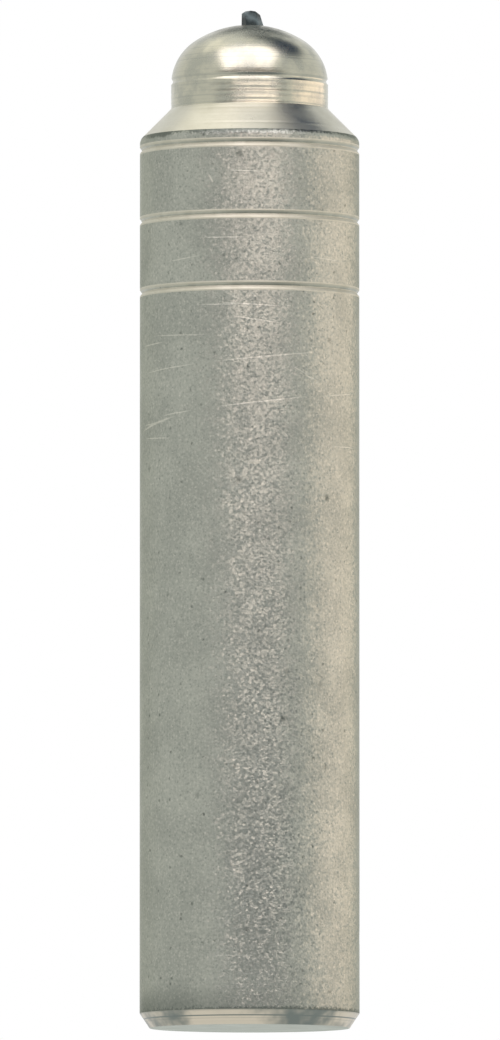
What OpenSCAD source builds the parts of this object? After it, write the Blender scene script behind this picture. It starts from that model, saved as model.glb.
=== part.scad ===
// Single-point diamond wheel dresser: a turned steel shank with a domed nose,
// and one long diamond crystal brazed into a socket drilled in that nose.
// The tool stands on its flat end, with the origin at the middle of that end and +Z towards the stone.
// Lengths are in millimetres and angles in degrees.

/* [Shank] */
// Diameter of the plain round shank, a 7/16 in bar
shank_d = 11.11; // [9.5:0.01:16]
// Length from the flat end to the crown of the dome, 2 in
body_len = 50.8; // [40:0.1:80]
// End chamfer, across the radius
chamfer_across = 0.5; // [0.1:0.05:1.5]
// End chamfer, along the axis
chamfer_along = 0.75; // [0.1:0.05:2]
// Rounding where the shank runs into the cone
shoulder_r = 0.5; // [0.1:0.05:0.9]

/* [Ring grooves] */
// Number of ring grooves turned round the shank
groove_count = 3; // [1:1:6]
// Spacing of the grooves along the shank
groove_pitch = 3.62; // [1.5:0.02:6]
// Distance from the corner of the cone down to the first groove
groove_drop = 0.54; // [0.52:0.01:3]
// Width of a groove at the surface of the shank
groove_w = 0.34; // [0.2:0.02:0.6]
// Depth of a groove
groove_depth = 0.11; // [0.05:0.01:0.4]
// Radius of the rounded root of a groove
groove_root_r = 0.05; // [0.02:0.01:0.08]

/* [Nose] */
// Angle of the cone from the axis
cone_angle = 45; // [30:1:70]
// Diameter of the neck, 5/16 in
neck_d = 7.94; // [6.5:0.01:9]
// Length of the straight neck, from the cone to the dome
neck_len = 1.23; // [0.5:0.01:4]
// Width of the fine undercut between the neck and the dome
undercut_w = 0.34; // [0.1:0.02:0.5]
// Depth of that undercut
undercut_depth = 0.09; // [0.03:0.01:0.15]
// Height of the dome above the neck
dome_h = 3.04; // [2.8:0.02:3.8]
// Radius of the dome's shoulder, tangent to the neck
dome_shoulder_r = 2.65; // [1.2:0.05:2.7]

/* [Stone] */
// Height of the worn tip above the crown of the dome
tip_proud = 0.74; // [0.4:0.02:1.2]
// Length of the crystal before its tip wore down
stone_len = 4.7; // [3.6:0.1:6]
// Distance from the tool's axis to the two tapered faces on the right, at the crown
right_reach = 0.6; // [0.45:0.01:0.8]
// Distance from the tool's axis to the two faces on the left, at the crown
left_reach = 0.355; // [0.25:0.005:0.6]
// Distance from the tool's axis to the front and back faces, at the crown
face_reach = 0.4; // [0.3:0.01:0.6]
// Taper of the two faces on the right
right_taper = 15; // [5:0.5:18]
// Taper of the two faces on the left
left_taper = 1; // [0:0.5:10]
// Taper of the front and back faces
face_taper = 12; // [5:0.5:15]
// Distance from the tool's axis to the point where the three end faces met
point_offset = 0.06; // [0:0.02:0.2]
// Height that wear has taken off that point
point_wear = 0.11; // [0.05:0.01:0.16]
// Radius that wear has given the tip
tip_r = 0.75; // [0.5:0.05:1]

/* [Setting] */
// Thickness of the braze between the widest part of the stone and the socket wall
braze_film = 0.15; // [0.05:0.01:0.4]
// Included angle of the drill point at the bottom of the socket
drill_point_angle = 118; // [90:1:140]

/* [Hidden] */

$fn = 96;

shank_r = shank_d / 2;
neck_r = neck_d / 2;

// Heights along the axis
dome_z = body_len - dome_h;
cone_top_z = dome_z - neck_len;
cone_h = (shank_r - neck_r) / tan(cone_angle);
corner_z = cone_top_z - cone_h;
first_groove_z = corner_z - groove_drop;

// The undercut is cut across the foot of the dome, nearly all of it above the foot
undercut_z = dome_z + 0.45 * undercut_w;

// The rounding at the corner touches the shank and the cone this far from the corner
shoulder_reach = shoulder_r * tan(cone_angle / 2);

// The crown's radius makes it tangent to the dome's shoulder
shoulder_centre_r = neck_r - dome_shoulder_r;
crown_r = (neck_r^2 + dome_h^2 - 2 * neck_r * dome_shoulder_r) / (2 * (dome_h - dome_shoulder_r));
crown_centre_z = dome_h - crown_r;
crown_share = crown_r / (crown_r - dome_shoulder_r);
crown_edge = [shoulder_centre_r * crown_share, crown_centre_z * (1 - crown_share)];

// A dodecahedral crystal grown along its threefold axis: six side faces, and three faces at each end
side_step = 60;
end_step = 120;
end_lean = asin(2 / sqrt(6));
sides = [
    [0.5, right_reach, right_taper],
    [1.5, face_reach, face_taper],
    [2.5, left_reach, left_taper],
    [3.5, left_reach, left_taper],
    [4.5, face_reach, face_taper],
    [5.5, right_reach, right_taper]
];
tip_z = body_len + tip_proud;
point_z = tip_z + point_wear;
root_z = point_z - stone_len;

// The stone is widest at its root, and the socket clears its corners there by the braze film
function reach_at_root(side) = side[1] + (body_len - root_z) * tan(side[2]);
function corner_reach(a, b) = sqrt(a^2 + b^2 - 2 * a * b * cos(side_step)) / sin(side_step);
corners = [
    for (i = [0 : len(sides) - 1])
        corner_reach(reach_at_root(sides[i]), reach_at_root(sides[(i + 1) % len(sides)]))
];
socket_r = max(corners) + braze_film;
socket_z = root_z - braze_film;
drill_point_h = socket_r / tan(drill_point_angle / 2);

// The worn tip runs out into a cone that clears the stone's sides, down past its root
wear_taper = 40;
wear_reach = 2 * stone_len;

// Half section of the corner that the rounding takes off between the shank and the cone
module shoulder_waste() {
    centre = [shank_r - shoulder_r, corner_z - shoulder_reach];
    on_shank = [shank_r, corner_z - shoulder_reach];
    on_cone = [shank_r - shoulder_reach * sin(cone_angle), corner_z + shoulder_reach * cos(cone_angle)];
    outer = [shank_r + shoulder_r, corner_z];
    difference() {
        polygon([centre, on_shank, outer, on_cone]);
        translate(centre) circle(r = shoulder_r);
    }
}

// Half section of one ring groove: straight flanks and a rounded root
module groove_section() {
    half_w = groove_w / 2;
    root_in = groove_depth - groove_root_r;
    flank_angle = acos(groove_root_r / norm([half_w, root_in])) - atan2(root_in, half_w);
    flank_in = root_in + groove_root_r * sin(flank_angle);
    flank_half = groove_root_r * cos(flank_angle);
    translate([-root_in, 0]) circle(r = groove_root_r);
    polygon([
        [-flank_in, -flank_half],
        [0, -half_w],
        [groove_depth, -half_w],
        [groove_depth, half_w],
        [0, half_w],
        [-flank_in, flank_half]
    ]);
}

// Half section of the dome: a crown arc and a shoulder arc that run into each other
module dome_section() {
    intersection() {
        translate([0, crown_centre_z]) circle(r = crown_r);
        polygon([[0, crown_centre_z], crown_edge, [crown_edge[0], crown_r], [0, crown_r]]);
    }
    intersection() {
        translate([shoulder_centre_r, 0]) circle(r = dome_shoulder_r);
        square([neck_r, crown_edge[1]]);
    }
    square([shoulder_centre_r, crown_edge[1]]);
}

// Half section of the shank before the grooves: chamfer, plain bar, cone, neck and dome
module blank_section() {
    polygon([
        [0, 0],
        [shank_r - chamfer_across, 0],
        [shank_r, chamfer_along],
        [shank_r, corner_z],
        [neck_r, cone_top_z],
        [neck_r, dome_z],
        [0, dome_z]
    ]);
    translate([0, dome_z]) dome_section();
}

// The turned shank, with its socket not yet drilled
module turned_blank() {
    undercut_r = ((undercut_w / 2)^2 + undercut_depth^2) / (2 * undercut_depth);
    rotate_extrude() difference() {
        blank_section();
        shoulder_waste();
        for (i = [0 : groove_count - 1])
            translate([shank_r, first_groove_z - i * groove_pitch]) groove_section();
        translate([neck_r - undercut_depth + undercut_r, undercut_z]) circle(r = undercut_r);
    }
}

// The drilled hole, from its point to past the crown
module socket() {
    rotate_extrude() polygon([
        [0, socket_z - drill_point_h],
        [socket_r, socket_z],
        [socket_r, tip_z],
        [0, tip_z]
    ]);
}

// The space behind one crystal face: azimuth and lean give its normal, place is a point on it
module behind_face(azimuth, lean, place) {
    block = 4 * stone_len;
    translate(place) rotate([0, -lean, azimuth])
        translate([-block, -block / 2, -block / 2]) cube(block);
}

// The rounded envelope that grinding has worn the tip to
module worn_envelope() {
    edge = [tip_r * cos(wear_taper), tip_r * sin(wear_taper)];
    far = edge + wear_reach * [tan(wear_taper), -1];
    translate([0, 0, tip_z - tip_r]) rotate_extrude() {
        intersection() {
            circle(r = tip_r);
            polygon([[0, 0], edge, [edge[0], tip_r], [0, tip_r]]);
        }
        polygon([[0, far[1]], far, edge, [0, edge[1]]]);
    }
}

// The stone: tapered sides, three faces at each end, and the worn tip
module crystal() {
    intersection() {
        intersection_for(side = sides)
            behind_face(
                side[0] * side_step,
                side[2],
                [side[1] * cos(side[0] * side_step), side[1] * sin(side[0] * side_step), body_len]
            );
        intersection_for(turn = [0 : end_step : 360 - end_step])
            behind_face(turn, end_lean, [point_offset, 0, point_z]);
        intersection_for(turn = [end_step / 2 : end_step : 360])
            behind_face(turn, -end_lean, [point_offset, 0, root_z]);
        translate([point_offset, 0, 0]) worn_envelope();
    }
}

module shank() {
    color("darkgray") difference() {
        turned_blank();
        socket();
    }
}

module setting() {
    color("silver") difference() {
        intersection() {
            turned_blank();
            socket();
        }
        crystal();
    }
}

module diamond() {
    color("dimgray") crystal();
}

shank();
setting();
diamond();
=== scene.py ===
"""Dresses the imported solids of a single-point diamond wheel dresser, and sets its stage."""
import math
import random

import bpy
from bpy.props import FloatProperty, FloatVectorProperty, IntProperty, PointerProperty
from bpy.types import Operator, Panel, PropertyGroup
from mathutils import Matrix, Vector


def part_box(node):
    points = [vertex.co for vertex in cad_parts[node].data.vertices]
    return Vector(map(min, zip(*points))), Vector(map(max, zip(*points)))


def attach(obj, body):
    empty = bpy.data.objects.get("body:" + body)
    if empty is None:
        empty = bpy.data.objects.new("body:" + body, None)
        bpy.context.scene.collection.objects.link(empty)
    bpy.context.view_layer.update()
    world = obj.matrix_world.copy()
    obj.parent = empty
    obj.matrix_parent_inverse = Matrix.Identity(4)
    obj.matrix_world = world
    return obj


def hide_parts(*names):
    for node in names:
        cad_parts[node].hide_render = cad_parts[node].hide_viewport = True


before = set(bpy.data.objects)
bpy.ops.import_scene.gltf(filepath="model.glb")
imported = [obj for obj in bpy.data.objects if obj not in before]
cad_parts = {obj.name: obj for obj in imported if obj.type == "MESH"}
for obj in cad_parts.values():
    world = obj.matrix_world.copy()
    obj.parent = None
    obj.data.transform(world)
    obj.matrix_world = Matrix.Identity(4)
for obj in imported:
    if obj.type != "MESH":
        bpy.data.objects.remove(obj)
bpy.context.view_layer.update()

bl_info = {
    "name": "Diamond Wheel Dresser",
    "version": (1, 0, 0),
    "blender": (4, 5, 0),
    "location": "View3D > Sidebar > Dresser",
    "description": "Turns the shank, cuts the diamond, fills its setting and sets the stage",
    "category": "Object",
}

MM = 0.001
BODY = "root"
# The visible shank lies a hair inside the solid's facets, and so stays in the solids' box
HAIR = 0.001 * MM
SHANK_R = min(abs(value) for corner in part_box("shank") for value in corner.xy) - HAIR
SOCKET_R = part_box("setting")[1].y
SOCKET_POINT_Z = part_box("setting")[0].z
STONE_ROOT_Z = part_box("diamond")[0].z
TIP_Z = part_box("diamond")[1].z

# Crystal faces: azimuth and lean of the normal in degrees, and distance from the axis at the crown in mm
STONE_SIDES = (
    (30, 15, 0.6), (90, 12, 0.4), (150, 1, 0.355),
    (210, 1, 0.355), (270, 12, 0.4), (330, 15, 0.6),
)
# Lean of the faces at both ends, of a dodecahedral crystal
STONE_END_LEAN = 54.74
STONE_END_AZIMUTHS = (0, 120, 240)
# Small faces that grinding has worn on the tip: azimuth and lean of the normal in degrees
STONE_WEAR = (
    (20, 76), (95, 78), (160, 74), (215, 78), (285, 75), (340, 80),
    (0, 58), (55, 62), (130, 60), (185, 56), (250, 61), (310, 57),
)
# Those faces lie this share of the tip's radius from its centre, and the top is ground off this much
WEAR_SHARE = 0.99
TOP_GRIND = 0.004 * MM

# Handling scratches on the shank: from angle and height to angle and height, then width, in degrees and mm
SCRATCHES = (
    (-25.6, 33.31, 43.4, 33.94, 0.06), (-19.4, 36.37, 21.6, 36.13, 0.045),
    (-11.8, 35.70, 19.4, 35.26, 0.053), (-79.2, 30.01, -39.9, 30.74, 0.075),
    (-22.7, 31.03, 37.2, 31.69, 0.053), (30.9, 32.67, 37.2, 32.50, 0.06),
    (-29.7, 39.64, 2.9, 39.63, 0.038), (-21.1, 3.47, 5.5, 3.45, 0.012),
    (-22.2, 42.89, -18.8, 42.33, 0.06), (-14.5, 43.02, 7.6, 42.96, 0.033),
    (-9.0, 8.44, -2.9, 8.62, 0.11), (-9.6, 8.02, -3.0, 8.20, 0.11),
    (-31.5, 36.26, -1.8, 36.25, 0.03), (-75.6, 34.36, -49.4, 34.48, 0.045),
    (-64.8, 34.84, -17.2, 34.70, 0.03), (-72.8, 32.95, -23.9, 33.31, 0.038),
    (21.6, 33.20, 32.8, 32.68, 0.038), (35.9, 31.63, 77.9, 32.04, 0.038),
    (-74.6, 30.34, -46.3, 30.49, 0.045), (-73.7, 29.71, -43.4, 29.60, 0.038),
    (-54.5, 30.73, -29.7, 30.95, 0.038), (46.3, 29.18, 75.6, 29.23, 0.045),
    (27.3, 38.72, 60.3, 38.53, 0.03), (-50.2, 38.47, -23.9, 38.76, 0.03),
)
# Scratches on the far side, placed by a seeded draw, and their width in mm
SEEDED_SCRATCHES = 16
SEEDED_SCRATCH_W = 0.04
# Dents in the shank: angle in degrees, height, radius and depth in mm
DENTS = (
    (-7.6, 8.65, 0.55, 0.030), (-6.4, 8.05, 0.5, 0.028), (38.5, 2.15, 0.6, 0.025),
    (6.5, 19.0, 0.45, 0.022), (-44.8, 1.45, 0.45, 0.020), (-20.0, 42.6, 0.6, 0.022),
)
# Dents elsewhere, placed by a seeded draw
SEEDED_DENTS = 14

# Section of a ring groove from its lower lip up: place along the tool in half widths, and share of depth.
# Behind the upper lip is a slight dip, so that the lip stands up as a burr.
GROOVE_SECTION = (
    (-1.4, 0.0), (-1.0, 0.0), (-0.6, 0.38), (-0.22, 0.82), (-0.08, 0.97),
    (0.08, 0.97), (0.22, 0.82), (0.6, 0.38), (1.0, 0.0), (1.4, 0.05), (1.8, 0.0),
)
# Distances from the middle of a groove, in groove widths: the part of its upper flank that gets painted
# shade, and its lips
SHADED_FLANK_FROM = 0.04
SHADED_FLANK_TO = 0.3
LIP_EDGE = 0.7
# Depths of tool marks that follow each other, as shares of the feed depth
CHAMFER_MARKS = (0.5, 0.55, 0.3)
CONE_MARKS = (0.1, 0.7, 0.1, 0.2, 0.1, 0.6, 0.1)
NECK_MARKS = (0.65, 0.25, 0.75, 0.4)
# Points across the undercut, as shares of its width, and how far its middle lies above the foot of the dome
UNDERCUT_SHARES = (0.0, 0.12, 0.25, 0.37, 0.5, 0.63, 0.75, 0.88)
UNDERCUT_RISE = 0.45
# Spacing of the points on the flat end, on the socket's wall, and on its bottom and the braze
END_STEP = 0.42 * MM
WALL_STEP = 0.6 * MM
BRAZE_STEP = 0.5 * MM
BRAZE_SEGMENTS = 120

# Faces that meet at less than this are shaded as one surface
TURNED_SMOOTH = math.radians(24)
STONE_SMOOTH = math.radians(12)
# Edges of the stone that are sharper than this are worn round
STONE_SHARP = math.radians(8)
# Vertices closer than this are merged
TURNED_MERGE = 0.0005 * MM
STONE_MERGE = 0.001 * MM
# Vertices closer than this to a cut lie on it
CUT_GAP = 0.0001 * MM

# What tumbling left on the skin of the bar, in mm: grain, its finer tooth, flats, dimples and broad patches
GRAIN = 0.14
TOOTH = 0.09
FLAT = 0.13
DIMPLE = 0.16
PATCH = 2.6

SMOOTH = {"interpolation_type": "SMOOTHSTEP"}


def linear(colour):
    """Linear RGB of an sRGB hex colour."""
    values = [int(colour[i:i + 2], 16) / 255 for i in (1, 3, 5)]
    return [v / 12.92 if v <= 0.04045 else ((v + 0.055) / 1.055) ** 2.4 for v in values]


def length(name, description, millimetres):
    """A length property, written in millimetres."""
    return FloatProperty(
        name=name, description=description, default=millimetres * MM, unit="LENGTH", precision=6)


def tint(name, description, colour):
    """A colour property, written as sRGB hex."""
    values = (*linear(colour), 1.0)
    return FloatVectorProperty(name=name, description=description, default=values, size=4, subtype="COLOR")


class DresserSizes(PropertyGroup):
    """Sizes of the dresser's visible form."""

    body_len: length("Body length", "From the flat end to the crown of the dome", 50.8)
    chamfer_across: length("Chamfer across", "End chamfer across the radius", 0.5)
    chamfer_along: length("Chamfer along", "End chamfer along the axis", 0.75)
    edge_r: length("Edge radius", "Rounding that tumbling left on the chamfer's edges", 0.06)
    shoulder_r: length("Shoulder radius", "Rounding between the shank and the cone", 0.5)
    groove_count: IntProperty(name="Grooves", description="Ring grooves round the shank", default=3, min=1)
    groove_pitch: length("Groove pitch", "Spacing of the ring grooves", 3.62)
    groove_drop: length("Groove drop", "From the cone's corner to the first groove", 0.54)
    groove_w: length("Groove width", "Width of a groove at the surface", 0.34)
    groove_depth: length("Groove depth", "Depth of a groove", 0.11)
    neck_d: length("Neck diameter", "Diameter of the neck", 7.94)
    neck_len: length("Neck length", "Straight neck between the cone and the dome", 1.23)
    undercut_w: length("Undercut width", "Fine groove at the foot of the dome", 0.34)
    undercut_depth: length("Undercut depth", "Depth of that groove", 0.09)
    dome_h: length("Dome height", "Height of the dome above the neck", 3.04)
    dome_shoulder_r: length("Dome shoulder", "Radius of the dome's shoulder", 2.65)
    feed: length("Feed", "Spacing of the tool marks on the nose", 0.3)
    feed_depth: length("Feed depth", "Depth of the tool marks on the nose", 0.012)
    braze_film: length("Braze film", "Braze between the stone's root and the socket", 0.15)
    tip_r: length("Tip radius", "Radius that wear has given the tip", 0.75)
    tip_offset: length("Tip offset", "From the tool's axis to the middle of the tip", 0.06)
    tip_wear: length("Tip wear", "Height that wear has taken off the point", 0.11)
    stone_edge: length("Stone edge", "Rounding of the stone's worn edges", 0.02)
    row: length("Row", "Height of a row of faces on the plain shank", 0.2)
    segments: IntProperty(name="Segments", description="Faces round the shank", default=224, min=24)

    def corner_z(self):
        """Height of the corner between the shank and the cone."""
        return self.cone_top_z() - (SHANK_R - self.neck_d / 2)

    def cone_top_z(self):
        """Height where the cone meets the neck."""
        return self.dome_z() - self.neck_len

    def dome_z(self):
        """Height of the foot of the dome."""
        return self.body_len - self.dome_h

    def undercut_z(self):
        """Height of the middle of the undercut."""
        return self.dome_z() + UNDERCUT_RISE * self.undercut_w

    def groove_heights(self):
        """Heights of the ring grooves, from the lowest up."""
        first = self.corner_z() - self.groove_drop
        return [first - i * self.groove_pitch for i in reversed(range(self.groove_count))]


class DresserColours(PropertyGroup):
    """Colours of the dresser's finishes."""

    bar: tint("Bar", "Tumbled skin of the bar", "#9EA196")
    bar_dark: tint("Bar shade", "Darker patches of that skin", "#888C83")
    grain_dark: tint("Dark grain", "Darkest grains of the bar's skin", "#6E746E")
    bar_light: tint("Bar rub", "Rubbed high spots of that skin", "#B8B7AB")
    bar_edge: tint("Bar edge", "Tint of the skin at a glancing angle", "#DADCD4")
    # Dark colour for dirty pits, for painted shade towards the chamfer, and for a dark line above the
    # chamfer and a band at the cone's foot
    grime_and_shade: tint("Grime", "Dirt in pits, along edges and in corners", "#4C534D")
    # Painted shade: the darker upper flank of the ring grooves, where the groove shades itself
    groove: tint("Groove grime", "Dull upper flank of the ring grooves", "#ACAEA1")
    # Also the colour of the painted glints on the bar's lighter flats
    scratch_and_glint: tint("Scratches", "Bare metal in scratches", "#D5D3C4")
    turned: tint("Turned steel", "Bright turned steel", "#B3B2A0")
    turned_dark: tint("Turned shade", "Dull streaks on turned steel", "#8F938A")
    # Paler turned steel: on the cone it is painted light from above; the ring grooves use it too
    pale_turned: tint("Fresh turned steel", "Least handled turned steel, on the cone and in grooves", "#BEBDAD")
    faced: tint("Faced end", "Turned steel of the flat end", "#919C8B")
    chamfer: tint("Chamfer", "Turned steel of the chamfer", "#C8C0AE")
    chamfer_dark: tint("Chamfer shade", "Stains on the chamfer", "#727A75")
    braze: tint("Braze", "Silver braze round the stone", "#A9A899")
    stone: tint("Stone", "Body of the dark diamond", "#0A1012")
    stone_glint: tint("Stone glint", "Tint of the diamond's reflections", "#D2EAE6")
    # Painted reflection: the pale band across the diamond
    stone_reflection: tint("Stone light", "Paler clouds in the diamond", "#505C5D")


def add(tree, kind, inputs=None, **settings):
    """Adds a node with its settings.

    An input takes a value, a socket, or a node, whose first output it then uses. Inputs that share a name
    go by number. In Map Range, 0 is the value, 1 and 2 are the range it comes from, and 3 and 4 the range
    it is turned to. In Mix, 0 is the share, and 6 and 7 are the colours.
    """
    made = tree.nodes.new(kind)
    for key, value in settings.items():
        setattr(made, key, value)
    for key, value in (inputs or {}).items():
        if isinstance(value, bpy.types.Node):
            value = value.outputs[0]
        if isinstance(value, bpy.types.NodeSocket):
            tree.links.new(value, made.inputs[key])
        else:
            made.inputs[key].default_value = value
    return made


def start_material(name):
    """A new node material with its tree, its shader and the place on the piece in millimetres."""
    material = bpy.data.materials.new(name)
    material.use_nodes = True
    tree = material.node_tree
    tree.nodes.clear()
    shader = add(tree, "ShaderNodeBsdfPrincipled")
    add(tree, "ShaderNodeOutputMaterial", {"Surface": shader})
    place = add(tree, "ShaderNodeTexCoord").outputs["Object"]
    place = add(tree, "ShaderNodeVectorMath", {0: place, "Scale": 1 / MM}, operation="SCALE")
    return material, tree, shader, place


def scratch_lines():
    """The scratches seen from the front, and seeded ones like them on the far side."""
    chance = random.Random(11)
    lines = list(SCRATCHES)
    for _ in range(SEEDED_SCRATCHES):
        angle = chance.uniform(60, 245)
        height = chance.uniform(3, 42)
        far_angle = angle + chance.uniform(8, 45)
        far_height = height + chance.uniform(-1.2, 1.2)
        lines.append((angle, height, far_angle, far_height, SEEDED_SCRATCH_W))
    return lines


def tumbled_bar_steel(sizes, colours):
    """Cold-drawn bar steel, tumbled: a dull, sandy grey skin with specks, dirty pits, painted glints,
    painted shade towards the chamfer, dark marks by the chamfer and the cone, and handling scratches.
    """
    material, tree, shader, place = start_material("tumbled_bar_steel")
    # Broad patches, and on them a grain that is rubbed light on its high spots and dark in between
    settings = {"Vector": place, "Scale": 1 / GRAIN, "Detail": 2.0, "Roughness": 0.6}
    grain = add(tree, "ShaderNodeTexNoise", settings)
    tooth = add(tree, "ShaderNodeTexNoise", {"Vector": place, "Scale": 1 / TOOTH, "Detail": 1.0})
    patches = add(tree, "ShaderNodeTexNoise", {"Vector": place, "Scale": 1 / PATCH, "Detail": 3.0})
    share = add(tree, "ShaderNodeMapRange", {0: patches, 1: 0.38, 2: 0.64, 4: 0.45}, **SMOOTH)
    colour = add(tree, "ShaderNodeMix", {0: share, 6: colours.bar, 7: colours.bar_dark}, data_type="RGBA")
    share = add(tree, "ShaderNodeMapRange", {0: grain, 1: 0.50, 2: 0.72, 4: 0.45}, **SMOOTH)
    colour = add(
        tree, "ShaderNodeMix", {0: share, 6: colour.outputs[2], 7: colours.bar_light}, data_type="RGBA")
    share = add(tree, "ShaderNodeMapRange", {0: grain, 1: 0.28, 2: 0.48, 3: 0.7, 4: 0.0}, **SMOOTH)
    colour = add(
        tree, "ShaderNodeMix", {0: share, 6: colour.outputs[2], 7: colours.bar_dark}, data_type="RGBA")

    # Small flats that the grit left: the lighter ones are painted glints, the darker ones darker grains
    flats = add(tree, "ShaderNodeTexVoronoi", {"Vector": place, "Scale": 1 / FLAT})
    chance = add(tree, "ShaderNodeSeparateColor", {0: flats.outputs["Color"]})
    settings = {0: flats.outputs["Distance"], 1: 0.2, 2: 0.6, 3: 1.0, 4: 0.0}
    dot = add(tree, "ShaderNodeMapRange", settings, **SMOOTH)
    glint_and_grain_tones = ((0.62, 1.0, 0.24, colours.scratch_and_glint), (0.4, 0.0, 0.42, colours.grain_dark))
    for low, high, strength, tone in glint_and_grain_tones:
        chosen = add(tree, "ShaderNodeMapRange", {0: chance, 1: low, 2: high, 4: strength}, **SMOOTH)
        share = add(tree, "ShaderNodeMath", {0: chosen, 1: dot}, operation="MULTIPLY")
        colour = add(tree, "ShaderNodeMix", {0: share, 6: colour.outputs[2], 7: tone}, data_type="RGBA")

    # Specks of dirt in ragged pits, in some of the cells of a fine and of a wide pattern, in millimetres
    bends = add(tree, "ShaderNodeTexNoise", {"Vector": place, "Scale": 1 / 0.12, "Detail": 1.0})
    settings = {0: bends.outputs["Color"], 1: (0.16, 0.16, 0.16), 2: place}
    bent = add(tree, "ShaderNodeVectorMath", settings, operation="MULTIPLY_ADD")
    pits = 0.0
    for spacing, rarity, size in ((0.55, 0.45, 0.12), (2.1, 0.15, 0.25)):
        cells = add(tree, "ShaderNodeTexVoronoi", {"Vector": bent, "Scale": 1 / spacing})
        chance = add(tree, "ShaderNodeSeparateColor", {0: cells.outputs["Color"]})
        chosen = add(tree, "ShaderNodeMapRange", {0: chance, 1: rarity, 2: 1.0, 4: 0.75}, **SMOOTH)
        reach = size / spacing
        settings = {0: cells.outputs["Distance"], 1: reach / 6, 2: reach, 3: 1.0, 4: 0.0}
        dot = add(tree, "ShaderNodeMapRange", settings, **SMOOTH)
        dot = add(tree, "ShaderNodeMath", {0: chosen, 1: dot}, operation="MULTIPLY")
        pits = add(tree, "ShaderNodeMath", {0: pits, 1: dot}, operation="MAXIMUM")

    # Painted shade that darkens the skin towards the chamfer's edge, more on the left; a ragged dark line
    # just above that edge; and a darker band at the foot of the cone
    axes = add(tree, "ShaderNodeSeparateXYZ", {0: place})
    edge = sizes.chamfer_along / MM
    left = add(tree, "ShaderNodeMapRange", {0: axes.outputs[0], 1: -4.0, 2: 4.0, 3: 0.56, 4: 0.1})
    settings = {0: axes.outputs[2], 1: edge, 2: edge + 1.7, 3: left, 4: 0.0}
    # Painted shade, fading up from the chamfer's edge
    low_shade = add(tree, "ShaderNodeMapRange", settings, **SMOOTH)
    ragged = add(tree, "ShaderNodeMath", {0: grain, 1: 0.5, 2: axes.outputs[2]}, operation="MULTIPLY_ADD")
    settings = {0: ragged, 1: edge + 0.28, 2: edge + 0.5, 3: 0.75, 4: 0.0}
    rim = add(tree, "ShaderNodeMapRange", settings, **SMOOTH)
    dirt_and_shade = add(tree, "ShaderNodeMath", {0: low_shade, 1: rim}, operation="MAXIMUM")
    corner = sizes.corner_z() / MM
    ragged = add(tree, "ShaderNodeMath", {0: patches, 1: 0.7, 2: ragged}, operation="MULTIPLY_ADD")
    foot = add(tree, "ShaderNodeMapRange", {0: ragged, 1: corner + 0.5, 2: corner + 0.7, 4: 0.8}, **SMOOTH)
    dirt_and_shade = add(tree, "ShaderNodeMath", {0: dirt_and_shade, 1: foot}, operation="MAXIMUM")
    dirt_and_shade = add(tree, "ShaderNodeMath", {0: dirt_and_shade, 1: pits}, operation="MAXIMUM")
    colour = add(tree, "ShaderNodeMix", {0: dirt_and_shade, 6: colour.outputs[2], 7: colours.grime_and_shade}, data_type="RGBA")

    # Scratches, each a line on the unrolled shank: arc along X and height along Y, in millimetres
    radius = SHANK_R / MM
    turned = add(tree, "ShaderNodeMath", {0: axes.outputs[1], 1: -1.0}, operation="MULTIPLY")
    angle = add(tree, "ShaderNodeMath", {0: axes.outputs[0], 1: turned}, operation="ARCTAN2")
    arc_place = add(tree, "ShaderNodeMath", {0: angle, 1: radius}, operation="MULTIPLY")
    sway = add(tree, "ShaderNodeMath", {0: tooth, 1: 0.04, 2: axes.outputs[2]}, operation="MULTIPLY_ADD")
    unrolled = add(tree, "ShaderNodeCombineXYZ", {0: arc_place, 1: sway})
    marks = 0.0
    for angle_0, height_0, angle_1, height_1, width in scratch_lines():
        wrap = 360 if angle_0 > 180 else 0
        start = Vector((math.radians(angle_0 - wrap) * radius, height_0))
        end = Vector((math.radians(angle_1 - wrap) * radius, height_1))
        middle, half = (start + end) / 2, (end - start) / 2
        settings = {0: unrolled, "Location": (*middle, 0), "Rotation": (0, 0, math.atan2(half.y, half.x))}
        settings["Scale"] = (half.length, width, 1)
        local = add(tree, "ShaderNodeMapping", settings, vector_type="TEXTURE")
        line = add(tree, "ShaderNodeTexGradient", {0: local}, gradient_type="SPHERICAL").outputs[1]
        marks = add(tree, "ShaderNodeMath", {0: marks, 1: line}, operation="MAXIMUM")
    marks = add(tree, "ShaderNodeMapRange", {0: marks, 1: 0.05, 2: 0.5}, **SMOOTH)
    share = add(tree, "ShaderNodeMath", {0: marks, 1: 0.43}, operation="MULTIPLY")
    settings = {0: share, 6: colour.outputs[2], 7: colours.scratch_and_glint}
    colour = add(tree, "ShaderNodeMix", settings, data_type="RGBA")
    tree.links.new(colour.outputs[2], shader.inputs["Base Color"])

    # A dull sheen that follows the patches, and a bump of grain and dimples, cut by pits and scratches
    shader.inputs["Metallic"].default_value = 1.0
    shader.inputs["Specular Tint"].default_value = colours.bar_edge
    sheen = add(tree, "ShaderNodeMapRange", {0: patches, 1: 0.3, 2: 0.7, 3: 0.29, 4: 0.36})
    tree.links.new(sheen.outputs[0], shader.inputs["Roughness"])
    dimples = add(tree, "ShaderNodeTexVoronoi", {"Vector": place, "Scale": 1 / DIMPLE}).outputs["Distance"]
    height = add(tree, "ShaderNodeMath", {0: tooth, 1: 0.25, 2: grain}, operation="MULTIPLY_ADD")
    height = add(tree, "ShaderNodeMath", {0: dimples, 1: 0.4, 2: height}, operation="MULTIPLY_ADD")
    cuts = add(tree, "ShaderNodeMath", {0: pits, 1: marks}, operation="MAXIMUM")
    height = add(tree, "ShaderNodeMath", {0: cuts, 1: -0.3, 2: height}, operation="MULTIPLY_ADD")
    bump = add(tree, "ShaderNodeBump", {"Height": height, "Strength": 1.0, "Distance": 0.017 * MM})
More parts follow.
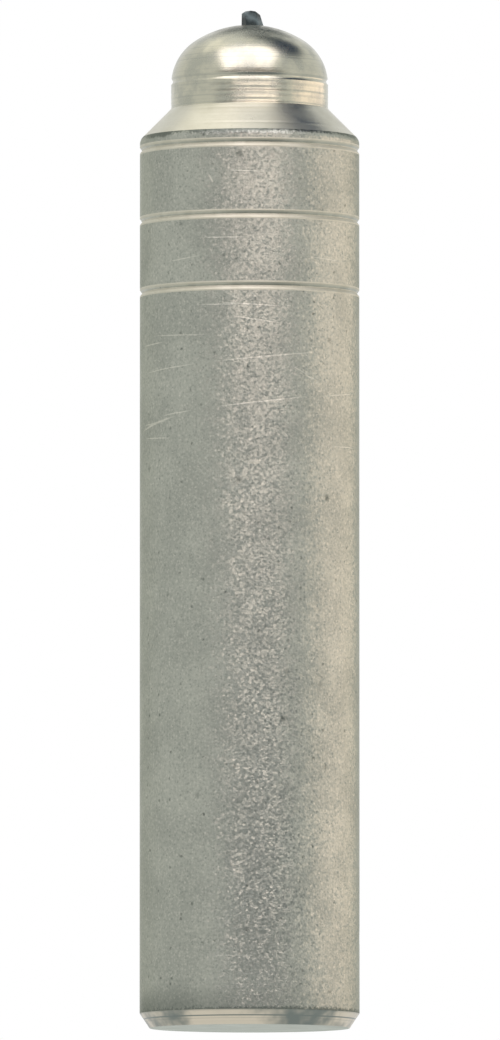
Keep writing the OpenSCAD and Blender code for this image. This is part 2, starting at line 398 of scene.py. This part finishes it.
    # Each flat is tilted its own way, on top of the bump
    settings = {0: flats.outputs["Color"], 1: (0.5, 0.5, 0.5)}
    tilt = add(tree, "ShaderNodeVectorMath", settings, operation="SUBTRACT")
    settings = {0: tilt, 1: (0.19, 0.19, 0.19), 2: bump}
    tilt = add(tree, "ShaderNodeVectorMath", settings, operation="MULTIPLY_ADD")
    normal = add(tree, "ShaderNodeVectorMath", {0: tilt}, operation="NORMALIZE")
    tree.links.new(normal.outputs[0], shader.inputs["Normal"])
    return material


def turned_steel(
        name, base, dull, roughness, feed=0.12, ring_share=0.4, slope=1,
        smudge=1.1, smudge_share=0.5, shift=(0, 0, 0)):
    """Lathe-turned steel: bright, with fine rings from the tool's feed and dull, handled smudges.

    feed is the spacing of the rings and smudge the size of a smudge, in millimetres. slope is the sign of
    the radius in the coordinate that runs along the profile, and shift moves the smudges.
    """
    material, tree, shader, place = start_material(name)
    axes = add(tree, "ShaderNodeSeparateXYZ", {0: place})
    flat = add(tree, "ShaderNodeCombineXYZ", {0: axes.outputs[0], 1: axes.outputs[1]})
    radius = add(tree, "ShaderNodeVectorMath", {0: flat}, operation="LENGTH").outputs["Value"]
    along = add(tree, "ShaderNodeMath", {0: radius, 1: slope, 2: axes.outputs[2]}, operation="MULTIPLY_ADD")
    settings = {"W": along, "Scale": 1 / feed, "Detail": 3.0, "Roughness": 0.7}
    rings = add(tree, "ShaderNodeTexNoise", settings, noise_dimensions="1D")
    spots = add(tree, "ShaderNodeVectorMath", {0: place, 1: shift})
    settings = {"Vector": spots, "Scale": 1 / smudge, "Detail": 4.0, "Roughness": 0.6}
    smudges = add(tree, "ShaderNodeTexNoise", settings)
    share = add(tree, "ShaderNodeMapRange", {0: smudges, 1: 0.42, 2: 0.64, 4: smudge_share}, **SMOOTH)
    colour = add(tree, "ShaderNodeMix", {0: share, 6: base, 7: dull}, data_type="RGBA")
    share = add(tree, "ShaderNodeMapRange", {0: rings, 1: 0.32, 2: 0.48, 3: ring_share, 4: 0.0}, **SMOOTH)
    # Dull specks about 0.1 mm across, in some of the cells of a pattern 0.9 mm apart
    cells = add(tree, "ShaderNodeTexVoronoi", {"Vector": spots, "Scale": 1 / 0.9})
    chance = add(tree, "ShaderNodeSeparateColor", {0: cells.outputs["Color"]})
    chosen = add(tree, "ShaderNodeMapRange", {0: chance, 1: 0.7, 2: 1.0}, **SMOOTH)
    settings = {0: cells.outputs["Distance"], 1: 0.03, 2: 0.1, 3: 1.0, 4: 0.0}
    dot = add(tree, "ShaderNodeMapRange", settings, **SMOOTH)
    settings = {0: chosen, 1: dot, 2: share}
    share = add(tree, "ShaderNodeMath", settings, operation="MULTIPLY_ADD", use_clamp=True)
    colour = add(tree, "ShaderNodeMix", {0: share, 6: colour.outputs[2], 7: dull}, data_type="RGBA")
    tree.links.new(colour.outputs[2], shader.inputs["Base Color"])
    shader.inputs["Metallic"].default_value = 1.0
    sheen = add(tree, "ShaderNodeMapRange", {0: smudges, 1: 0.3, 2: 0.7, 3: roughness, 4: roughness + 0.1})
    tree.links.new(sheen.outputs[0], shader.inputs["Roughness"])
    bump = add(tree, "ShaderNodeBump", {"Height": rings, "Strength": 1.0, "Distance": 0.004 * MM})
    tree.links.new(bump.outputs[0], shader.inputs["Normal"])
    return material


def silver_braze(colours):
    """Silver braze, turned off flush with the dome: softer and duller to the eye than steel."""
    material, tree, shader, place = start_material("silver_braze")
    flow = add(tree, "ShaderNodeTexNoise", {"Vector": place, "Scale": 1 / 0.45, "Detail": 3.0})
    share = add(tree, "ShaderNodeMapRange", {0: flow, 1: 0.35, 2: 0.7, 4: 0.6}, **SMOOTH)
    settings = {0: share, 6: colours.braze, 7: colours.turned_dark}
    colour = add(tree, "ShaderNodeMix", settings, data_type="RGBA")
    tree.links.new(colour.outputs[2], shader.inputs["Base Color"])
    shader.inputs["Metallic"].default_value = 1.0
    sheen = add(tree, "ShaderNodeMapRange", {0: flow, 1: 0.3, 2: 0.7, 3: 0.24, 4: 0.36})
    tree.links.new(sheen.outputs[0], shader.inputs["Roughness"])
    bump = add(tree, "ShaderNodeBump", {"Height": flow, "Strength": 1.0, "Distance": 0.008 * MM})
    tree.links.new(bump.outputs[0], shader.inputs["Normal"])
    return material


def industrial_diamond(colours):
    """Industrial diamond, dark and clouded, with a pale band of painted reflection: near-black body under
    glossy, slightly worn faces.
    """
    material, tree, shader, place = start_material("industrial_diamond")
    settings = {"Vector": place, "Scale": 1 / 0.25, "Detail": 3.0, "Roughness": 0.6}
    clouds = add(tree, "ShaderNodeTexNoise", settings)
    # A pale band of painted reflection crosses the stone at a slant and meets its axis 0.3 mm below the tip
    slant = Vector((0.53, 0.0, 0.85))
    level = slant.z * (TIP_Z / MM - 0.3)
    along_slant = add(tree, "ShaderNodeVectorMath", {0: place, 1: slant}, operation="DOT_PRODUCT")
    settings = {0: clouds, 1: 0.4, 2: along_slant.outputs["Value"]}
    across = add(tree, "ShaderNodeMath", settings, operation="MULTIPLY_ADD")
    across = add(tree, "ShaderNodeMath", {0: across, 1: level + 0.2}, operation="SUBTRACT")
    across = add(tree, "ShaderNodeMath", {0: across}, operation="ABSOLUTE")
    share = add(tree, "ShaderNodeMapRange", {0: across, 1: 0.02, 2: 0.26, 3: 1.0, 4: 0.0})
    settings = {0: share, 6: colours.stone, 7: colours.stone_reflection}
    colour = add(tree, "ShaderNodeMix", settings, data_type="RGBA")
    tree.links.new(colour.outputs[2], shader.inputs["Base Color"])
    # The worn faces mirror less than those of a polished diamond
    shader.inputs["IOR"].default_value = 2.417
    shader.inputs["Specular IOR Level"].default_value = 0.1
    shader.inputs["Specular Tint"].default_value = colours.stone_glint
    sheen = add(tree, "ShaderNodeMapRange", {0: clouds, 1: 0.3, 2: 0.7, 3: 0.12, 4: 0.24})
    tree.links.new(sheen.outputs[0], shader.inputs["Roughness"])
    bump = add(tree, "ShaderNodeBump", {"Height": clouds, "Strength": 1.0, "Distance": 0.002 * MM})
    tree.links.new(bump.outputs[0], shader.inputs["Normal"])
    return material


def run_points(start, end, spacing):
    """Points from start up to but without end, about spacing apart."""
    start, end = Vector(start), Vector(end)
    steps = max(1, round((end - start).length / spacing))
    return [start.lerp(end, i / steps) for i in range(steps)]


def arc_points(centre, radius, first, last, steps):
    """Points on an arc from first to last, in degrees, ends included."""
    angles = [math.radians(first + (last - first) * i / steps) for i in range(steps + 1)]
    return [Vector((centre[0] + radius * math.cos(a), centre[1] + radius * math.sin(a))) for a in angles]


def rounded_corner(before, corner, after, radius, steps):
    """Points of the arc that rounds the corner between two straight runs."""
    before, corner, after = Vector(before), Vector(corner), Vector(after)
    back = (before - corner).normalized()
    forth = (after - corner).normalized()
    half = back.angle(forth) / 2
    centre = corner + (back + forth).normalized() * (radius / math.sin(half))
    first = corner + back * (radius / math.tan(half)) - centre
    last = corner + forth * (radius / math.tan(half)) - centre
    sweep = math.atan2(first.x * last.y - first.y * last.x, first.dot(last))
    return [centre + Matrix.Rotation(sweep * i / steps, 2) @ first for i in range(steps + 1)]


def dome_arcs(sizes):
    """Centres of the dome's shoulder and crown, the crown's radius, and the angle where the two meet."""
    neck_r = sizes.neck_d / 2
    shoulder = sizes.dome_shoulder_r
    rise = sizes.dome_h
    crown_r = (neck_r ** 2 + rise ** 2 - 2 * neck_r * shoulder) / (2 * (rise - shoulder))
    meet = math.degrees(math.atan2(crown_r - rise, neck_r - shoulder))
    return (neck_r - shoulder, sizes.dome_z()), (0.0, sizes.body_len - crown_r), crown_r, meet


def groove_points(sizes, height):
    """A ring groove from its lower lip up: lip, flank, root, flank, and a lip with a slight burr."""
    half, depth = sizes.groove_w / 2, sizes.groove_depth
    return [Vector((SHANK_R - depth * inward, height + half * along)) for along, inward in GROOVE_SECTION]


def tool_marks(points, sizes, depths):
    """Sinks the points of one straight run by fine feed marks, whose depths vary along it."""
    start = points[0]
    for point in points[1:]:
        turns = (point - start).length / sizes.feed
        depth = depths[int(turns) % len(depths)] * sizes.feed_depth
        point.x -= depth * math.sin(math.pi * (turns % 1)) ** 2
    return points


def shank_section(sizes):
    """Half section of the shank, from the middle of the flat end round to the bottom of the socket."""
    neck_r = sizes.neck_d / 2
    end_r = SHANK_R - sizes.chamfer_across
    chamfer = (SHANK_R, sizes.chamfer_along)
    corner = (SHANK_R, sizes.corner_z())
    cone_top = (neck_r, sizes.cone_top_z())
    points = run_points((0, 0), (end_r - 2 * sizes.edge_r, 0), END_STEP)
    points += rounded_corner((0, 0), (end_r, 0), chamfer, sizes.edge_r, 3)
    edge = rounded_corner((end_r, 0), chamfer, corner, 2 * sizes.edge_r, 3)
    slope = run_points(points[-1], edge[0], sizes.feed / 6)[1:]
    points += tool_marks(slope, sizes, CHAMFER_MARKS) + edge
    for height in sizes.groove_heights():
        groove = groove_points(sizes, height)
        points += run_points(points[-1], groove[0], sizes.row)[1:] + groove
    shoulder = rounded_corner((SHANK_R, 0), corner, cone_top, sizes.shoulder_r, 6)
    points += run_points(points[-1], shoulder[0], sizes.row)[1:] + shoulder
    cone = run_points(points[-1], cone_top, sizes.feed / 6)[1:]
    points += tool_marks(cone, sizes, CONE_MARKS)
    undercut_low = sizes.undercut_z() - sizes.undercut_w / 2
    neck = run_points(cone_top, (neck_r, undercut_low), sizes.feed / 10)
    points += tool_marks(neck, sizes, NECK_MARKS)
    for share in UNDERCUT_SHARES:
        bite = sizes.undercut_depth * math.sin(math.pi * share)
        points.append(Vector((neck_r - bite, undercut_low + share * sizes.undercut_w)))
    shoulder_centre, crown_centre, crown_r, meet = dome_arcs(sizes)
    undercut_high = undercut_low + sizes.undercut_w
    first = math.degrees(math.asin((undercut_high - sizes.dome_z()) / sizes.dome_shoulder_r))
    points += arc_points(shoulder_centre, sizes.dome_shoulder_r, first, meet, 36)
    mouth = math.degrees(math.acos(SOCKET_R / crown_r))
    points += arc_points(crown_centre, crown_r, meet, mouth, 10)[1:]
    floor = (SOCKET_R, STONE_ROOT_Z - sizes.braze_film)
    points += run_points(points[-1], floor, WALL_STEP)[1:]
    points += run_points(floor, (0, SOCKET_POINT_Z), BRAZE_STEP)
    points.append(Vector((0, SOCKET_POINT_Z)))
    return points


def turn_section(name, section, segments):
    """A turned piece: its half section is drawn from one vertex and spun round the tool's axis."""
    bpy.ops.object.select_all(action="DESELECT")
    bpy.ops.mesh.primitive_plane_add(size=MM)
    piece = bpy.context.object
    piece.name = name
    piece.data.name = name
    bpy.ops.object.mode_set(mode="EDIT")
    bpy.ops.mesh.select_all(action="SELECT")
    bpy.ops.mesh.merge(type="CENTER")
    bpy.ops.transform.translate(value=(section[0].x, 0, section[0].y))
    for last, point in zip(section, section[1:]):
        step = point - last
        bpy.ops.mesh.extrude_region_move(TRANSFORM_OT_translate={"value": (step.x, 0, step.y)})
    bpy.ops.mesh.select_all(action="SELECT")
    bpy.ops.mesh.spin(steps=segments, angle=math.tau, center=(0, 0, 0), axis=(0, 0, 1))
    bpy.ops.mesh.select_all(action="SELECT")
    bpy.ops.mesh.remove_doubles(threshold=TURNED_MERGE)
    bpy.ops.mesh.normals_make_consistent(inside=False)
    bpy.ops.object.mode_set(mode="OBJECT")
    return piece


def finish_piece(piece, node, slot, *materials):
    """Gives a piece its materials and its body, and hides the solid that it stands for. The slot is not
    used.
    """
    piece.data.materials.clear()
    for material in materials:
        piece.data.materials.append(material)
    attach(piece, BODY)
    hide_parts(node)


def press_dents(piece):
    """Presses small dents into the shank: the ones seen from the front, and seeded ones elsewhere."""
    chance = random.Random(5)
    dents = list(DENTS)
    for _ in range(SEEDED_DENTS):
        place = (chance.uniform(50, 310), chance.uniform(2, 43))
        dents.append((*place, chance.uniform(0.4, 0.7), chance.uniform(0.012, 0.028)))
    bpy.ops.object.mode_set(mode="EDIT")
    bpy.ops.mesh.select_mode(type="VERT")
    for angle, height, radius, depth in dents:
        outward = Vector((math.sin(math.radians(angle)), -math.cos(math.radians(angle)), 0))
        spot = outward * SHANK_R + Vector((0, 0, height * MM))
        bpy.ops.mesh.select_all(action="DESELECT")
        bpy.ops.object.mode_set(mode="OBJECT")
        nearest = min(piece.data.vertices, key=lambda vertex: (vertex.co - spot).length_squared)
        nearest.select = True
        bpy.ops.object.mode_set(mode="EDIT")
        bpy.ops.transform.translate(
            value=-outward * depth * MM, use_proportional_edit=True,
            proportional_edit_falloff="SMOOTH", proportional_size=radius * MM)
    bpy.ops.object.mode_set(mode="OBJECT")


class DRESSER_OT_turn_shank(Operator):
    """Turn the shank in one piece: chamfer, ring grooves, cone, neck, undercut and dome"""

    bl_idname = "dresser.turn_shank"
    bl_label = "Turn Shank"

    def execute(self, context):
        sizes = context.scene.dresser_sizes
        colours = context.scene.dresser_colours
        piece = turn_section("shank_turned", shank_section(sizes), sizes.segments)
        press_dents(piece)
        bpy.ops.object.shade_smooth_by_angle(angle=TURNED_SMOOTH)
        finish_piece(
            piece, "shank", "turned_steel",
            tumbled_bar_steel(sizes, colours),
            # Neck and dome: bright, with crisp reflections
            turned_steel("bright_turned_steel", colours.turned, colours.turned_dark, 0.19, slope=-1),
            # Cone: a paler, more even copy of the turned steel, painted light from above
            turned_steel("painted_lit_cone_steel", colours.pale_turned, colours.turned, 0.27, slope=-1, smudge=1.4),
            # Ring grooves: pale and nearly matt
            turned_steel("cut_groove_steel", colours.pale_turned, colours.turned, 0.52),
            # Upper flank of the grooves: a darker copy of the groove steel, painted shade deep in the
            # groove
            turned_steel("shaded_groove_steel", colours.groove, colours.turned_dark, 0.34),
            # Chamfer: pale, with coarse rings and broad dark stains
            turned_steel(
                "chamfered_steel", colours.chamfer, colours.chamfer_dark, 0.28, feed=0.22, ring_share=1.0,
                smudge=3.6, smudge_share=1.0, shift=(17.6, 28.0, 1.9)),
            # Flat end: greener and plainer
            turned_steel(
                "faced_end_steel", colours.faced, colours.turned_dark, 0.34, smudge=1.6, smudge_share=0.2),
        )
        self.share_finishes(piece, sizes)
        return {"FINISHED"}

    def share_finishes(self, piece, sizes):
        """Gives each face the finish of its place on the shank."""
        bar, bright, pale_turned, groove, shaded_flank, chamfered, faced = range(7)
        # The skin of the bar runs a little way round the shoulder, and the flat end faces straight down
        nose_from = sizes.corner_z() + 0.3 * sizes.shoulder_r
        downwards = -0.9
        grooves = sizes.groove_heights()
        for face in piece.data.polygons:
            height = face.center.z
            offset = min((height - middle for middle in grooves), key=abs) / sizes.groove_w
            if height > sizes.cone_top_z():
                face.material_index = bright
            elif height > nose_from:
                face.material_index = pale_turned
            elif height < sizes.chamfer_along:
                face.material_index = faced if face.normal.z < downwards else chamfered
            # Upper flank of a groove: painted shade
            elif SHADED_FLANK_FROM < offset < SHADED_FLANK_TO:
                face.material_index = shaded_flank
            elif abs(offset) < LIP_EDGE:
                face.material_index = groove
            else:
                face.material_index = bar


class DRESSER_OT_cut_diamond(Operator):
    """Cut the crystal's faces from a block, and wear its tip and edges"""

    bl_idname = "dresser.cut_diamond"
    bl_label = "Cut Diamond"

    def execute(self, context):
        sizes = context.scene.dresser_sizes
        bpy.ops.object.select_all(action="DESELECT")
        middle = (TIP_Z + STONE_ROOT_Z) / 2
        bpy.ops.mesh.primitive_cube_add(size=2 * (TIP_Z - STONE_ROOT_Z), location=(0, 0, middle))
        bpy.ops.object.transform_apply(location=True, rotation=False, scale=False)
        piece = context.object
        piece.name = "diamond_worn"
        piece.data.name = piece.name
        bpy.ops.object.mode_set(mode="EDIT")
        for azimuth, lean, reach in STONE_SIDES:
            a = math.radians(azimuth)
            self.cut((reach * MM * math.cos(a), reach * MM * math.sin(a), sizes.body_len), azimuth, lean)
        point = Vector((sizes.tip_offset, 0, TIP_Z + sizes.tip_wear))
        root = Vector((sizes.tip_offset, 0, STONE_ROOT_Z))
        for azimuth in STONE_END_AZIMUTHS:
            self.cut(point, azimuth, STONE_END_LEAN)
            self.cut(root, azimuth + 60, -STONE_END_LEAN)
        worn = Vector((sizes.tip_offset, 0, TIP_Z - sizes.tip_r))
        for azimuth, lean in STONE_WEAR:
            self.cut(worn + self.outward(azimuth, lean) * sizes.tip_r * WEAR_SHARE, azimuth, lean)
        self.cut((0, 0, TIP_Z - TOP_GRIND), 0, 90)
        bpy.ops.mesh.select_all(action="DESELECT")
        bpy.ops.mesh.edges_select_sharp(sharpness=STONE_SHARP)
        bpy.ops.mesh.bevel(offset=sizes.stone_edge, segments=2, affect="EDGES", clamp_overlap=True)
        bpy.ops.mesh.select_all(action="SELECT")
        bpy.ops.mesh.remove_doubles(threshold=STONE_MERGE)
        bpy.ops.mesh.normals_make_consistent(inside=False)
        bpy.ops.object.mode_set(mode="OBJECT")
        bpy.ops.object.shade_smooth_by_angle(angle=STONE_SMOOTH)
        finish_piece(piece, "diamond", "diamond", industrial_diamond(context.scene.dresser_colours))
        return {"FINISHED"}

    def outward(self, azimuth, lean):
        """Unit normal of a face."""
        a, e = math.radians(azimuth), math.radians(lean)
        return Vector((math.cos(e) * math.cos(a), math.cos(e) * math.sin(a), math.sin(e)))

    def cut(self, place, azimuth, lean):
        """Cuts the block off at one face."""
        normal = self.outward(azimuth, lean)
        bpy.ops.mesh.select_all(action="SELECT")
        bpy.ops.mesh.bisect(
            plane_co=place, plane_no=normal, use_fill=True, clear_outer=True, threshold=CUT_GAP)


class DRESSER_OT_fill_setting(Operator):
    """Fill the socket with braze round the stone"""

    bl_idname = "dresser.fill_setting"
    bl_label = "Fill Setting"

    def execute(self, context):
        sizes = context.scene.dresser_sizes
        crown_centre, crown_r = dome_arcs(sizes)[1:3]
        mouth = math.degrees(math.acos(SOCKET_R / crown_r))
        floor = (SOCKET_R, STONE_ROOT_Z - sizes.braze_film)
        crown = arc_points(crown_centre, crown_r, mouth, 90, 24)
        section = run_points((0, SOCKET_POINT_Z), floor, BRAZE_STEP)
        section += run_points(floor, crown[0], BRAZE_STEP) + crown
        piece = turn_section("setting_braze", section, BRAZE_SEGMENTS)
        bed = piece.modifiers.new("Stone bed", "BOOLEAN")
        bed.operation = "DIFFERENCE"
        bed.solver = "EXACT"
        bed.object = bpy.data.objects["diamond_worn"]
        bpy.ops.object.modifier_apply(modifier=bed.name)
        bpy.ops.object.shade_smooth_by_angle(angle=TURNED_SMOOTH)
        finish_piece(piece, "setting", "braze", silver_braze(context.scene.dresser_colours))
        return {"FINISHED"}


class DRESSER_OT_set_stage(Operator):
    """Set the backdrop, the floor, the soft boxes, the flags and the camera"""

    bl_idname = "dresser.set_stage"
    bl_label = "Set Stage"

    def execute(self, context):
        context.scene.view_settings.view_transform = "Standard"
        self.hang_backdrop(context.scene)
        self.lay_floor()
        # Place, aim and size in metres, then a soft box's radiance, and the colour of its light or the flag
        nose = Vector((0, 0, 0.047))
        self.soft_box("top_box", self.towards(-4, 54) * 0.7 + nose, nose, (0.95, 0.85), 1.7, "#FFF1FA")
        self.soft_box("right_box", self.towards(104, 1.5) * 0.6 + nose, nose, (0.88, 0.16), 0.95, "#FFDCC8")
        self.soft_box("back_box", self.towards(-130, 64) * 0.7 + nose, nose, (0.42, 0.42), 0.45, "#FFF4E4")
        front = Vector((0.028, -0.15, 0.070))
        front_aim = Vector((0.009, 0, 0.060))
        self.soft_box("front_strip", front, front_aim, (0.19, 0.03), 1.95, "#FFE9E6")
        self.flag("brow_flag", Vector((0.008, -0.145, 0.105)), nose, (0.58, 0.068), "#0E161A")
        self.flag("rear_flag", self.towards(178, 38) * 0.55 + nose, nose, (0.34, 0.26), "#4A565C")
        self.flag("low_flag", Vector((0.014, -0.16, 0.010)), Vector((0, 0, 0.010)), (0.36, 0.09), "#B6BEC8")
        self.flag("back_flag", self.towards(112, 56) * 0.55 + nose, nose, (0.62, 0.45), "#1A3A5C")
        self.flag("far_flag", self.towards(150, 61) * 0.57 + nose, nose, (0.5, 0.26), "#3A4A54")
        low = Vector((0.018, -0.045, 0.0006))
        self.flag("floor_flag", low, low + Vector((0, 0, 1)), (0.11, 0.08), "#8C969A")
        self.place_camera(context.scene)
        return {"FINISHED"}

    def towards(self, azimuth, elevation):
        """Unit vector: azimuth 0 is towards the viewer and 90 to the right, elevation is upwards."""
        a, e = math.radians(azimuth), math.radians(elevation)
        return Vector((math.sin(a) * math.cos(e), -math.cos(a) * math.cos(e), math.sin(e)))

    def hang_backdrop(self, scene):
        """A white backdrop all round, dimmer where it only lights the floor and the stone."""
        world = bpy.data.worlds.new("white_backdrop")
        world.use_nodes = True
        tree = world.node_tree
        tree.nodes.clear()
        path = add(tree, "ShaderNodeLightPath").outputs
        settings = {0: path["Is Camera Ray"], 1: path["Is Glossy Ray"]}
        seen = add(tree, "ShaderNodeMath", settings, operation="ADD")
        seen = add(tree, "ShaderNodeMath", {0: seen, 1: path["Is Transmission Ray"]}, operation="ADD")
        strength = add(tree, "ShaderNodeMapRange", {0: seen, 3: 0.55, 4: 1.0})
        white = add(tree, "ShaderNodeBackground", {"Color": (1, 1, 1, 1), "Strength": strength})
        add(tree, "ShaderNodeOutputWorld", {"Surface": white})
        scene.world = world

    def stage_material(self, name):
        """A new node material for the stage, with its empty tree."""
        material = bpy.data.materials.new(name)
        material.use_nodes = True
        material.node_tree.nodes.clear()
        return material, material.node_tree

    def lay_floor(self):
        """A pale floor that fades to white, and is clear from below, so that a low camera sees through."""
        bpy.ops.object.select_all(action="DESELECT")
        bpy.ops.mesh.primitive_plane_add(size=4.0, location=(0, 0, -0.03 * MM))
        floor = bpy.context.object
        floor.name = "floor"
        material, tree = self.stage_material("pale_floor")
        path = add(tree, "ShaderNodeLightPath").outputs
        settings = {0: path["Is Glossy Ray"], 1: path["Is Transmission Ray"]}
        mirrored = add(tree, "ShaderNodeMath", settings, operation="ADD")
        paint = add(tree, "ShaderNodeBsdfDiffuse", {"Color": (*linear("#EAF2F1"), 1.0)})
        white = add(tree, "ShaderNodeEmission", {"Color": (1, 1, 1, 1), "Strength": 1.0})
        place = add(tree, "ShaderNodeTexCoord").outputs["Object"]
        far = add(tree, "ShaderNodeVectorMath", {0: place}, operation="LENGTH").outputs["Value"]
        far = add(tree, "ShaderNodeMapRange", {0: far, 1: 0.12, 2: 0.5}, **SMOOTH)
        bright = add(tree, "ShaderNodeMath", {0: mirrored, 1: far}, operation="MAXIMUM")
        top = add(tree, "ShaderNodeMixShader", {0: bright, 1: paint, 2: white})
        below = add(tree, "ShaderNodeNewGeometry").outputs["Backfacing"]
        clear = add(tree, "ShaderNodeBsdfTransparent")
        both = add(tree, "ShaderNodeMixShader", {0: below, 1: top, 2: clear})
        add(tree, "ShaderNodeOutputMaterial", {"Surface": both})
        floor.data.materials.append(material)

    def soft_box(self, name, place, aim, size, radiance, colour):
        """A soft box that faces aim and doesn't show to the camera. The backdrop's white is radiance 1."""
        bpy.ops.object.light_add(type="AREA", location=place)
        lamp = bpy.context.object
        lamp.name = name
        lamp.rotation_euler = (aim - place).to_track_quat("-Z", "Y").to_euler()
        lamp.data.shape = "RECTANGLE"
        lamp.data.size, lamp.data.size_y = size
        lamp.data.energy = 4 * radiance * size[0] * size[1]
        lamp.data.color = linear(colour)
        lamp.visible_camera = False

    def flag(self, name, place, aim, size, colour):
        """A dark flag with a soft edge that only shows in reflections."""
        bpy.ops.object.select_all(action="DESELECT")
        turned = (aim - place).to_track_quat("-Z", "Y").to_euler()
        bpy.ops.mesh.primitive_plane_add(size=1.0, location=place, rotation=turned)
        flag = bpy.context.object
        flag.name = name
        flag.scale = (*size, 1)
        material, tree = self.stage_material(name + "_cloth")
        cloth = add(tree, "ShaderNodeBsdfDiffuse", {"Color": (*linear(colour), 1.0)})
        place = add(tree, "ShaderNodeTexCoord").outputs["Object"]
        place = add(tree, "ShaderNodeVectorMath", {0: place, "Scale": 2.0}, operation="SCALE")
        near = add(tree, "ShaderNodeTexGradient", {0: place}, gradient_type="SPHERICAL").outputs[1]
        share = add(tree, "ShaderNodeMapRange", {0: near, 1: 0.0, 2: 0.6}, **SMOOTH)
        clear = add(tree, "ShaderNodeBsdfTransparent")
        soft = add(tree, "ShaderNodeMixShader", {0: share, 1: clear, 2: cloth})
        add(tree, "ShaderNodeOutputMaterial", {"Surface": soft})
        flag.data.materials.append(material)
        flag.visible_camera = False
        flag.visible_shadow = False
        flag.visible_diffuse = False

    def place_camera(self, scene):
        """A long lens at the photograph's angle, a little below the tool."""
        lens = 700.0
        sensor = 36.0
        frame_height = 52.55 * MM
        aim = Vector((0.02 * MM, 0, 25.7 * MM))
        place = aim + self.towards(0, -3.9) * (lens / sensor * frame_height)
        turned = (aim - place).to_track_quat("-Z", "Y").to_euler()
        bpy.ops.object.camera_add(location=place, rotation=turned)
        camera = bpy.context.object
        camera.data.lens = lens
        camera.data.sensor_width = sensor
        camera.data.clip_start = 0.01
        camera.data.clip_end = 10.0
        scene.camera = camera


class DRESSER_PT_steps(Panel):
    """The steps that make the dresser"""

    bl_idname = "DRESSER_PT_steps"
    bl_label = "Diamond Wheel Dresser"
    bl_space_type = "VIEW_3D"
    bl_region_type = "UI"
    bl_category = "Dresser"

    def draw(self, context):
        for step in STEPS:
            self.layout.operator(step.bl_idname)


STEPS = (DRESSER_OT_turn_shank, DRESSER_OT_cut_diamond, DRESSER_OT_fill_setting, DRESSER_OT_set_stage)
CLASSES = (DresserSizes, DresserColours, *STEPS, DRESSER_PT_steps)


def register():
    """Registers the classes and hangs the sizes and colours on the scene."""
    for cls in CLASSES:
        bpy.utils.register_class(cls)
    bpy.types.Scene.dresser_sizes = PointerProperty(type=DresserSizes)
    bpy.types.Scene.dresser_colours = PointerProperty(type=DresserColours)


def unregister():
    """Takes the sizes, the colours and the classes away again."""
    del bpy.types.Scene.dresser_colours
    del bpy.types.Scene.dresser_sizes
    for cls in reversed(CLASSES):
        bpy.utils.unregister_class(cls)


def main():
    """Makes every piece and the stage."""
    register()
    bpy.ops.dresser.turn_shank()
    bpy.ops.dresser.cut_diamond()
    bpy.ops.dresser.fill_setting()
    bpy.ops.dresser.set_stage()


if __name__ == "__main__":
    main()
